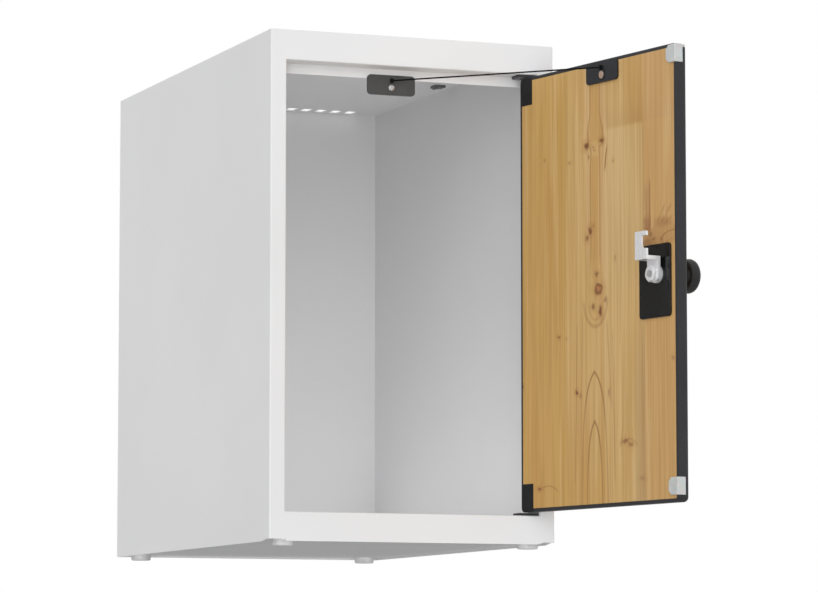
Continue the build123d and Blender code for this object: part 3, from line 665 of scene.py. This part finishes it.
cap_metal = bright_metal("brushed_cap", (212, 212, 213), 0.24, 0.36, stretch=(0.1, 1, 1))
knob_plastic = moulded_plastic("knob_plastic", (41, 41, 42), roughness=0.46, gloss=0.25)
buffer_plastic = milky_plastic("buffer_plastic")
backplate_gloss = gloss_black("backplate_gloss")
core_board = dark_core("door_core_board")
decor = PineDecor("pine_decor").material
cord_braid = braided_cord("cord_braid")

NODE_FINISHES = {
    housing_coat: ("left_side_panel", "right_side_panel", "back_panel", "roof_panel", "base_panel",
                   "top_rail", "bottom_rail"),
    foot_plastic: ("front_left_foot", "front_right_foot", "rear_left_foot", "rear_right_foot"),
    holder_plastic: ("restraint_holder",),
    hook_plastic: ("ceiling_hook",),
    plate_plastic: ("door_restraint_plate",),
    black_plastic: ("lower_hinge_block", "upper_hinge_block"),
    knot_plastic: ("holder_cord_anchor", "door_cord_anchor"),
    hinge_coat: ("lower_hinge_plate", "upper_hinge_plate"),
    zinc_steel: ("lower_hinge_pin", "upper_hinge_pin", "barrel_nut", "lock_spindle", "hinge_plate_screws",
                 "hinge_block_screws", "holder_screw", "restraint_rivet", "knob_screw"),
    polished_zinc: ("lock_barrel", "lock_cam", "cam_washer", "cam_nut"),
    core_board: ("door_core",),
    decor: ("inner_decor", "outer_decor"),
    buffer_plastic: ("upper_buffer", "lower_buffer"),
    backplate_gloss: ("lock_backplate",),
    knob_plastic: ("lock_knob",),
    cap_metal: ("knob_cap",),
}
for material, names in NODE_FINISHES.items():
    for name in names:
        node = nodes[name]
        node.data.materials.clear()
        node.data.materials.append(material)


# Restraint cord

CORD_RADIUS = 0.8 * MM
cord_line = line_of_spline([HOLDER_ANCHOR, (HOLDER_ANCHOR + DOOR_ANCHOR) / 2, DOOR_ANCHOR], 400)
cord_mesh = braided_tube("braided_restraint_cord", cord_line, CORD_RADIUS)
cord = new_piece("braided_restraint_cord", cord_mesh, cord_braid, None)
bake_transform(cord)
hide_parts("restraint_cord")


# Tools for turned and cut pieces

def cross_recess(radius, depth):
    """Cutter for a cross recess that narrows with depth, its mouth at z 0."""
    shape = bmesh.new()
    for turn in (0, pi / 2):
        arm = bmesh.ops.create_cube(shape, size=1)["verts"]
        for vertex in arm:
            deep = vertex.co.z < 0
            reach, width = (0.45, 0.13) if deep else (1.05, 0.18)
            vertex.co.x *= 2 * radius * reach
            vertex.co.y *= 2 * radius * width
            vertex.co.z = -depth if deep else depth
        bmesh.ops.rotate(shape, cent=(0, 0, 0), matrix=Matrix.Rotation(turn, 3, "Z"), verts=arm)
    return shape


def turned_shape(profile, segments=48, seam=MM / 1000):
    """Closed shape turned round Z from its (radius, height) profile."""
    shape = bmesh.new()
    points = [shape.verts.new((radius, 0, height)) for radius, height in profile]
    edges = [shape.edges.new(pair) for pair in zip(points, points[1:])]
    bmesh.ops.spin(shape, geom=points + edges, cent=(0, 0, 0), axis=(0, 0, 1), angle=2 * pi, steps=segments,
                   use_duplicate=False)
    bmesh.ops.remove_doubles(shape, verts=shape.verts, dist=seam)
    bmesh.ops.recalc_face_normals(shape, faces=shape.faces)
    return shape


def kept_mesh(shape, name):
    mesh = bpy.data.meshes.new(name)
    shape.to_mesh(mesh)
    shape.free()
    return mesh


def cut_mesh(shape, cutter, name, operation="DIFFERENCE"):
    """Mesh of a shape with the cutter taken out of it, or of what the two share."""
    body = bpy.data.objects.new(name, kept_mesh(shape, name))
    tool = bpy.data.objects.new(name + "_cutter", kept_mesh(cutter, name + "_cutter"))
    for thing in (body, tool):
        bpy.context.scene.collection.objects.link(thing)
    cut = body.modifiers.new("cut", "BOOLEAN")
    cut.object = tool
    cut.operation = operation
    cut.solver = "EXACT"
    cut.use_self = True
    mesh = evaluated_mesh(body, name)
    for thing in (body, tool):
        bpy.data.objects.remove(thing)
    return mesh


def evaluated_mesh(thing, name):
    bpy.context.view_layer.update()
    depsgraph = bpy.context.evaluated_depsgraph_get()
    mesh = bpy.data.meshes.new_from_object(thing.evaluated_get(depsgraph))
    mesh.name = name
    return mesh


def dome(radius, height, base, steps=8):
    """Rounded head from its rim to the axis, as (radius, height) points."""
    return [(radius * cos(pi / 2 * step / steps), base + height * sin(pi / 2 * step / steps))
            for step in range(steps)] + [(0, base + height)]


def moved(shape, height):
    bmesh.ops.translate(shape, verts=shape.verts, vec=(0, 0, height))
    return shape


# Screw of the restraint holder

def holder_screw_mesh():
    """Domed screw with a cross recess, in the holder's front face."""
    head, rim, crown = 3.25 * MM, 0.4 * MM, 1.1 * MM
    shank, length = 1.7 * MM, 6.5 * MM
    recess = moved(cross_recess(2 * MM, 1 * MM), rim + crown)
    profile = [(0, -length), (shank, -length), (shank, 0), (head, 0), *dome(head, crown, rim)]
    mesh = cut_mesh(turned_shape(profile), recess, "holder_screw_head")
    low, high = (Vector(corner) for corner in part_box("holder_screw"))
    middle = (low + high) / 2
    front = -1 * MM
    turn = 0.35
    mesh.transform(Matrix.Translation((middle.x, front, middle.z)) @ Matrix.Rotation(pi / 2, 4, "X")
                   @ Matrix.Rotation(turn, 4, "Z"))
    return mesh


holder_screw = new_piece("cross_head_screw", holder_screw_mesh(), zinc_steel, "cabinet")
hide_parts("holder_screw")


# Lock nut and washer, on the cam's spindle

WASHER_LEVEL = 0.5 * MM
NUT_LEVEL = 1.5 * MM
NUT_TOP = 4.5 * MM
NUT_FLATS = 14 * MM
NUT_TURN = radians(12)
STUD_RADIUS = 3 * MM


def on_door(across, level, up):
    """Turns a shape made along Z so that it stands out of the open door's inner face."""
    return OPEN_DOOR @ Matrix.Translation((across, level, up)) @ Matrix.Rotation(-pi / 2, 4, "X")


def raise_face(shape, face, height):
    """Makes a prism of a flat face."""
    raised = bmesh.ops.extrude_face_region(shape, geom=[face])["geom"]
    corners = [item for item in raised if isinstance(item, bmesh.types.BMVert)]
    bmesh.ops.translate(shape, verts=corners, vec=(0, 0, height))


def hexagon_prism(flats, height):
    shape = bmesh.new()
    reach = flats / 2 / cos(pi / 6)
    turns = [pi / 3 * corner for corner in range(6)]
    corners = [shape.verts.new((reach * cos(turn), reach * sin(turn), 0)) for turn in turns]
    raise_face(shape, shape.faces.new(corners), height)
    bmesh.ops.recalc_face_normals(shape, faces=shape.faces)
    return shape


def nut_mesh():
    """Hexagon nut with turned corners, a countersunk mouth and its bore."""
    height = NUT_TOP - NUT_LEVEL
    face = NUT_FLATS / 2 * 0.93
    reach = NUT_FLATS / 2 / cos(pi / 6) * 1.04
    drop = 0.9 * MM
    envelope = turned_shape([(0, 0), (face, 0), (reach, drop), (reach, height - drop), (face, height),
                             (0, height)])
    rounded = cut_mesh(hexagon_prism(NUT_FLATS, height), envelope, "nut_blank", "INTERSECT")
    blank = bmesh.new()
    blank.from_mesh(rounded)
    mouth, mouth_foot, mouth_top = STUD_RADIUS + 0.9 * MM, height - 0.7 * MM, height + 0.1 * MM
    low, high = -MM, height + MM
    bore = turned_shape([(0, low), (STUD_RADIUS, low), (STUD_RADIUS, mouth_foot), (mouth, mouth_top),
                         (mouth, high), (0, high)])
    mesh = cut_mesh(blank, bore, "bored_nut")
    mesh.transform(on_door(LOCK.x, NUT_LEVEL, LOCK.z) @ Matrix.Rotation(NUT_TURN, 4, "Z"))
    return mesh


def washer_mesh():
    """Washer with rounded rims."""
    inner, outer, bevel = STUD_RADIUS + 0.2 * MM, 8 * MM, 0.3 * MM
    thick = NUT_LEVEL - WASHER_LEVEL
    profile = [(inner, 0), (outer - bevel, 0), (outer, bevel), (outer, thick - bevel),
               (outer - bevel, thick), (inner, thick), (inner, 0)]
    mesh = kept_mesh(turned_shape(profile), "bevelled_cam_washer")
    mesh.transform(on_door(LOCK.x, WASHER_LEVEL, LOCK.z))
    return mesh


cam_nut = new_piece("chamfered_cam_nut", nut_mesh(), polished_zinc, "lock", smooth=False)
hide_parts("cam_nut")
cam_washer = new_piece("bevelled_cam_washer", washer_mesh(), polished_zinc, "lock", smooth=False)
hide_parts("cam_washer")


# Rivet of the door's restraint plate

RIVET = Vector((116.5, -5, 455.3)) * MM


def rivet_mesh():
    """Shank through the leaf, under a low domed head."""
    head, rim, crown = 4.0 * MM, 0.3 * MM, 0.8 * MM
    shank, length = 1.7 * MM, 8 * MM
    profile = [(0, -length), (shank, -length), (shank, 0), (head, 0), *dome(head, crown, rim)]
    mesh = kept_mesh(turned_shape(profile), "domed_rivet")
    mesh.transform(on_door(*RIVET))
    return mesh


def collar_mesh():
    """Raised ring round the rivet's head, in plastic darker than the plate's: the darker tone is painted
    shade at the rim of the rivet's hole.
    """
    inner, outer, sunk, wall, height = 4.1 * MM, 5.6 * MM, -0.2 * MM, 0.1 * MM, 0.5 * MM
    profile = [(inner, sunk), (outer, sunk), (outer, wall), (outer - 0.3 * MM, height),
               (inner + 0.2 * MM, height), (inner, wall), (inner, sunk)]
    mesh = kept_mesh(turned_shape(profile), "rivet_shade_collar")
    mesh.transform(on_door(*RIVET))
    return mesh


rivet = new_piece("domed_rivet", rivet_mesh(), pale_rivet, "door")
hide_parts("restraint_rivet")
# the collar's darker plastic is painted shade round the rivet's head
new_piece("rivet_shade_collar", collar_mesh(), black_plastic, "door", smooth=False)


# Rows of countersunk screws

def screw_row_tree(material):
    """Row of countersunk screws along X, heads up at Z 0, each with a cross recess. Returns
    the tree and the identifiers of its named inputs."""
    tree = bpy.data.node_groups.new("countersunk_screw_row", "GeometryNodeTree")
    tree.interface.new_socket("Geometry", in_out="OUTPUT", socket_type="NodeSocketGeometry")
    sizes = {}
    lengths = ("Spacing", "Head Radius", "Head Height", "Shank Radius", "Length", "Recess Depth")
    for name, kind in (("Count", "Int"), *((length, "Float") for length in lengths)):
        socket = tree.interface.new_socket(name, in_out="INPUT", socket_type="NodeSocket" + kind)
        sizes[name] = socket.identifier
    given = tree.nodes.new("NodeGroupInput").outputs

    def add(kind, sockets=(), **settings):
        node = tree.nodes.new(kind)
        for name, value in settings.items():
            setattr(node, name, value)
        for name, value in dict(sockets).items():
            if isinstance(value, bpy.types.NodeSocket):
                tree.links.new(value, node.inputs[name])
            else:
                node.inputs[name].default_value = value
        return node

    def product(first, second):
        return add("ShaderNodeMath", {0: first, 1: second}, operation="MULTIPLY").outputs[0]

    def upright(value):
        return add("ShaderNodeCombineXYZ", {"Z": value}).outputs[0]

    def placed(geometry, sockets):
        return add("GeometryNodeTransform", {"Geometry": geometry, **sockets}).outputs[0]

    round_sides = 40
    head = add("GeometryNodeMeshCone", {"Vertices": round_sides, "Depth": given["Head Height"],
                                        "Radius Top": given["Head Radius"],
                                        "Radius Bottom": given["Shank Radius"]})
    head = placed(head.outputs["Mesh"], {"Translation": upright(product(given["Head Height"], -1.0))})
    # a shank of quite the same radius would leave the two solids' faces one on the other
    shank = add("GeometryNodeMeshCylinder", {"Vertices": round_sides, "Depth": given["Length"],
                                             "Radius": product(given["Shank Radius"], 0.999)})
    below = add("ShaderNodeMath", {0: given["Length"], 1: -0.5, 2: product(given["Head Height"], -0.5)},
                operation="MULTIPLY_ADD").outputs[0]
    shank = placed(shank.outputs["Mesh"], {"Translation": upright(below)})
    whole = add("GeometryNodeMeshBoolean", operation="UNION")
    for part in (head, shank):
        tree.links.new(part, whole.inputs["Mesh 2"])
    # the arms of the recess, half of them above the head
    long, narrow = product(given["Head Radius"], 1.15), product(given["Head Radius"], 0.24)
    deep = product(given["Recess Depth"], 2.0)
    cut = add("GeometryNodeMeshBoolean", {"Mesh 1": whole.outputs["Mesh"]}, operation="DIFFERENCE")
    for x, y in ((long, narrow), (narrow, long)):
        size = add("ShaderNodeCombineXYZ", {"X": x, "Y": y, "Z": deep}).outputs[0]
        arm = add("GeometryNodeMeshCube", {"Size": size}).outputs["Mesh"]
        tree.links.new(arm, cut.inputs["Mesh 2"])
    step = add("ShaderNodeCombineXYZ", {"X": given["Spacing"]}).outputs[0]
    line = add("GeometryNodeMeshLine", {"Count": given["Count"], "Offset": step}, mode="OFFSET")
    row = add("GeometryNodeInstanceOnPoints", {"Points": line.outputs["Mesh"],
                                               "Instance": cut.outputs["Mesh"]})
    plain = add("GeometryNodeRealizeInstances", {"Geometry": row.outputs["Instances"]})
    coated = add("GeometryNodeSetMaterial", {"Geometry": plain.outputs["Geometry"], "Material": material})
    add("NodeGroupOutput", {"Geometry": coated.outputs["Geometry"]})
    return tree, sizes


SCREW_TREE, SCREW_SIZES = screw_row_tree(zinc_steel)


def screw_row(place, **values):
    """Plain mesh of one row, moved to its place."""
    holder = bpy.data.objects.new("screw_row", bpy.data.meshes.new("screw_row"))
    bpy.context.scene.collection.objects.link(holder)
    grow = holder.modifiers.new("screws", "NODES")
    grow.node_group = SCREW_TREE
    for name, value in values.items():
        grow[SCREW_SIZES[name.replace("_", " ").title()]] = value
    mesh = evaluated_mesh(holder, "screw_row")
    bpy.data.objects.remove(holder)
    mesh.transform(place)
    return mesh


def joined(name, meshes):
    shape = bmesh.new()
    for mesh in meshes:
        shape.from_mesh(mesh)
        bpy.data.meshes.remove(mesh)
    bmesh.ops.recalc_face_normals(shape, faces=shape.faces)
    return kept_mesh(shape, name)


# Places of the first screws, as in the part's source: across, depth and level
PLATE_SCREW = Vector((246.5, -14.55)) * MM
PLATE_SCREW_PITCH = 9.5 * MM
LOWER_PLATE_FACE = 35.0 * MM
UPPER_PLATE_FACE = 471.5 * MM
BLOCK_SCREW = Vector((261, -13.5)) * MM
LOWER_BLOCK_SCREW = 56.1 * MM
UPPER_BLOCK_SCREW = 449.7 * MM


def plate_screws_mesh():
    """Two screws in each hinge plate, driven away from the doorway."""
    rows = []
    for face, flip in ((LOWER_PLATE_FACE, 0), (UPPER_PLATE_FACE, pi)):
        first = Matrix.Translation((*PLATE_SCREW, face))
        place = first @ Matrix.Rotation(pi / 2, 4, "Z") @ Matrix.Rotation(flip, 4, "X")
        rows.append(screw_row(place, count=2, spacing=PLATE_SCREW_PITCH, head_radius=3.1 * MM,
                              head_height=1.5 * MM, shank_radius=1.7 * MM, length=6.75 * MM,
                              recess_depth=0.9 * MM))
    return joined("hinge_plate_screw_row", rows)


def block_screws_mesh():
    """One long screw in each hinge block, driven into the leaf's edge."""
    upper = OPEN_DOOR @ Matrix.Translation((*BLOCK_SCREW, UPPER_BLOCK_SCREW))
    row = screw_row(upper @ Matrix.Rotation(pi / 2, 4, "Y"), count=2,
                    spacing=UPPER_BLOCK_SCREW - LOWER_BLOCK_SCREW, head_radius=3.6 * MM,
                    head_height=2.2 * MM, shank_radius=1.9 * MM, length=32.9 * MM, recess_depth=1.2 * MM)
    return joined("hinge_block_screw_row", [row])


plate_screws = new_piece("hinge_plate_screw_row", plate_screws_mesh(), zinc_steel, "cabinet",
                         smooth=False)
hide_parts("hinge_plate_screws")
block_screws = new_piece("hinge_block_screw_row", block_screws_mesh(), zinc_steel, "door",
                         smooth=False)
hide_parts("hinge_block_screws")


# Welds that fill the front frame's corners

FRONT = -20 * MM
LEFT_DOORWAY_EDGE = -4.5 * MM
RIGHT_DOORWAY_EDGE = 262.5 * MM
# Levels between which each rail meets the stiles, in millimetres
RAIL_SPANS = ((6, 32.5), (474, 503))
# Section of the weld in millimetres: into the doorway from its edge, and in from the front
WELD_SECTION = ((-1.8, -0.015), (0.2, -0.015), (0.2, 1.7), (-0.1, 1.7), (-0.6, 0.7), (-1.8, 0.1))


def weld_mesh(name, side, doorway_edge):
    """Fills the groove of the stile's fold beside each rail. Side is 1 for the left stile."""
    shape = bmesh.new()
    for low, high in RAIL_SPANS:
        ring = [shape.verts.new((doorway_edge + side * x * MM, FRONT + y * MM, low * MM))
                for x, y in WELD_SECTION]
        raise_face(shape, shape.faces.new(ring), (high - low) * MM)
    bmesh.ops.recalc_face_normals(shape, faces=shape.faces)
    return kept_mesh(shape, name)


for name, side, edge in (("left_frame_welds", 1, LEFT_DOORWAY_EDGE),
                         ("right_frame_welds", -1, RIGHT_DOORWAY_EDGE)):
    new_piece(name, weld_mesh(name, side, edge), housing_coat, "cabinet", smooth=False)


# Stage

FLOOR_REACH = 6


def pale_floor():
    """Pale floor that is clear when it is looked at from below."""
    finish = Finish("pale_floor", Roughness=0.9)
    grain = finish.noise(finish.place, 3)
    finish.colour(finish.two_tones(grain, (0.84, 0.84, 0.84, 1), (0.86, 0.86, 0.86, 1)))
    side = finish.nodes.new("ShaderNodeNewGeometry").outputs["Backfacing"]
    see_through = finish.nodes.new("ShaderNodeBsdfTransparent").outputs["BSDF"]
    either = finish.nodes.new("ShaderNodeMixShader")
    finish.feed(either, {0: side, 1: finish.shader.outputs["BSDF"], 2: see_through})
    finish.join(either.outputs[0], finish.output.inputs["Surface"])
    return finish.material


def lay_floor():
    mesh = bpy.data.meshes.new("floor")
    corners = [(x * FLOOR_REACH, y * FLOOR_REACH, 0) for x, y in ((-1, -1), (1, -1), (1, 1), (-1, 1))]
    mesh.from_pydata(corners, [], [(0, 1, 2, 3)])
    mesh.materials.append(pale_floor())
    floor = bpy.data.objects.new("floor", mesh)
    bpy.context.scene.collection.objects.link(floor)
    floor.visible_diffuse = False
    floor.visible_shadow = False
    floor.visible_transmission = False


# Where the soft light comes from: direction, how narrow, and how strong. The first three
# are broad, the next two light the sides and back, and the last two are the front lights
EVEN_LIGHT = 0.165
LIGHT_LOBES = (
    ((0, 0, 1), 1, 0.56),
    ((0, 0, -1), 1, 0.185),
    ((-1, 0, 0), 1, 0.187),
    ((0.95, 0, 0.3), 12, 1.9),
    ((0, 0.95, 0.3), 12, 2.6),
    ((-0.39, -0.92, 0.1), 8, 2.60),
    ((-0.2, -0.93, -0.3), 8, 0.80),
)


def light_world():
    """Soft light from broad lobes round the object, before a white background."""
    world = bpy.data.worlds.new("studio")
    bpy.context.scene.world = world
    world.use_nodes = True
    tree = world.node_tree
    tree.nodes.clear()
    direction = tree.nodes.new("ShaderNodeTexCoord").outputs["Generated"]

    def calculate(operation, *values):
        node = tree.nodes.new("ShaderNodeMath")
        node.operation = operation
        for socket, value in zip(node.inputs, values):
            if isinstance(value, bpy.types.NodeSocket):
                tree.links.new(value, socket)
            else:
                socket.default_value = value
        return node.outputs[0]

    level = EVEN_LIGHT
    for towards, narrowness, strength in LIGHT_LOBES:
        facing = tree.nodes.new("ShaderNodeVectorMath")
        facing.operation = "DOT_PRODUCT"
        facing.inputs[1].default_value = towards
        tree.links.new(direction, facing.inputs[0])
        lobe = calculate("POWER", calculate("MAXIMUM", facing.outputs["Value"], 0.0), narrowness)
        level = calculate("MULTIPLY_ADD", lobe, strength, level)
    lighting = tree.nodes.new("ShaderNodeBackground")
    white = tree.nodes.new("ShaderNodeBackground")
    for background in (lighting, white):
        background.inputs["Color"].default_value = (1, 1, 1, 1)
    tree.links.new(level, lighting.inputs["Strength"])
    rays = tree.nodes.new("ShaderNodeLightPath")
    seen = rays.outputs["Is Camera Ray"]
    for name in ("Is Glossy Ray", "Is Transmission Ray"):
        seen = calculate("MAXIMUM", seen, rays.outputs[name])
    choice = tree.nodes.new("ShaderNodeMixShader")
    tree.links.new(seen, choice.inputs[0])
    tree.links.new(lighting.outputs[0], choice.inputs[1])
    tree.links.new(white.outputs[0], choice.inputs[2])
    output = tree.nodes.new("ShaderNodeOutputWorld")
    tree.links.new(choice.outputs[0], output.inputs["Surface"])


COMPARTMENT_LAMP_SIZE = (0.24, 0.42)
COMPARTMENT_LAMP_PLACE = (0.13, 0.23, 0.012)
COMPARTMENT_LAMP_POWER = 0.25


def light_compartment():
    """Weak lamp that lies on the compartment's floor and lights its walls from below."""
    data = bpy.data.lights.new("compartment_lamp", "AREA")
    data.shape = "RECTANGLE"
    data.size, data.size_y = COMPARTMENT_LAMP_SIZE
    data.energy = COMPARTMENT_LAMP_POWER
    lamp = bpy.data.objects.new("compartment_lamp", data)
    bpy.context.scene.collection.objects.link(lamp)
    lamp.location = COMPARTMENT_LAMP_PLACE
    lamp.rotation_euler = (pi, 0, 0)
    lamp.visible_glossy = False


lay_floor()
light_world()
light_compartment()
bpy.context.scene.view_settings.view_transform = "Standard"
